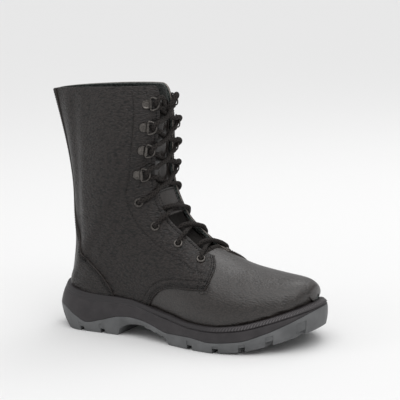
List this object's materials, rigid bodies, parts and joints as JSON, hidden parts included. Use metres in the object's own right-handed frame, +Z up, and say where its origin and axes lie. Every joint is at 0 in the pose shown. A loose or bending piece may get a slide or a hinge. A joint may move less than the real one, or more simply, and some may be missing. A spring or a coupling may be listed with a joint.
{
  "type": "safety boot",
  "caption": "High lace-up leather safety boot with a padded cup midsole, a lugged outsole, eyelets, lace loops and a laced tongue.",
  "frame": {"origin": "flat spot of the heel on the floor, on the heel's middle line", "axes": "+X towards the toe, +Y to the wearer's left, +Z up"},
  "size_m": [0.305, 0.1178, 0.257],
  "materials": {
    "grey_sole": "matt grey rubber",
    "black_sole": "matt black foam",
    "lining": "mottled knit",
    "vamp_leather": "fine grain, satin",
    "black_leather": "grained, satin",
    "gunmetal": "dark satin metal",
    "lace": "round woven cord"
  },
  "bodies": {
    "root": {"outsole": "grey_sole", "midsole": "black_sole", "insole": "lining", "upper": "vamp_leather", "quarter_right": "black_leather", "quarter_left": "black_leather", "counter": "black_leather", "tongue": "black_leather", "tongue_patch": "black_leather", "eyelet_right_1": "gunmetal", "loop_right_1": "gunmetal", "dring_right_1": "gunmetal", "eyelet_right_2": "gunmetal", "loop_right_2": "gunmetal", "dring_right_2": "gunmetal", "eyelet_right_3": "gunmetal", "loop_right_3": "gunmetal", "dring_right_3": "gunmetal", "eyelet_right_4": "gunmetal", "loop_right_4": "gunmetal", "dring_right_4": "gunmetal", "eyelet_left_1": "gunmetal", "loop_left_1": "gunmetal", "dring_left_1": "gunmetal", "eyelet_left_2": "gunmetal", "loop_left_2": "gunmetal", "dring_left_2": "gunmetal", "eyelet_left_3": "gunmetal", "loop_left_3": "gunmetal", "dring_left_3": "gunmetal", "eyelet_left_4": "gunmetal", "loop_left_4": "gunmetal", "dring_left_4": "gunmetal", "lace_bar": "lace", "lace_cross_1": "lace", "lace_cross_2": "lace", "lace_cross_3": "lace", "lace_cross_4": "lace", "lace_cross_5": "lace", "lace_cross_6": "lace", "lace_cross_7": "lace"}
  },
  "joints": []
}
